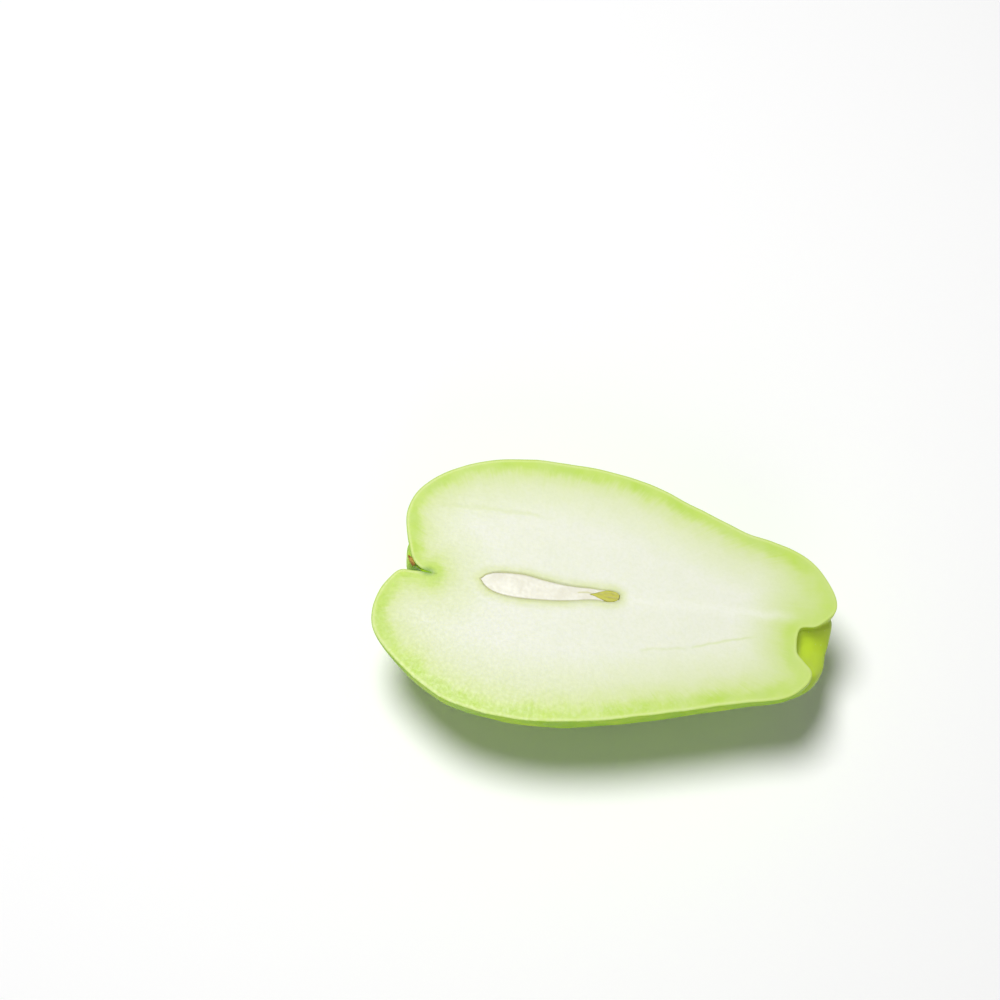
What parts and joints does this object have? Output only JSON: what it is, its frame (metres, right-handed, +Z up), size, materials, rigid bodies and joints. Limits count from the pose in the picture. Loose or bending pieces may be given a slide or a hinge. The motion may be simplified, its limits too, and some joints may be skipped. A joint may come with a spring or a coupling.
{
  "type": "chayote squash half",
  "caption": "Pear-shaped green chayote squash cut lengthwise, lying on its lobed back with the pale cut face up, showing a flat ivory seed edge-on and the blossom cleft",
  "frame": {"origin": "under the middle of the half's box, on the surface that its rounded back lies on", "axes": "+X from the blossom end to the stem end, +Y across the cut face, +Z up out of the cut face"},
  "size_m": [0.1356, 0.0818, 0.0392],
  "materials": {
    "flesh": "moist pale flesh under a waxy green skin",
    "seed": "smooth ivory seed coat",
    "seed_tip": "moist olive plug",
    "blossom_remnant": "dry brown flower remnant"
  },
  "bodies": {
    "root": {"squash_half": "flesh", "seed": "seed", "seed_tip": "seed_tip", "blossom_remnant": "blossom_remnant"}
  },
  "joints": []
}
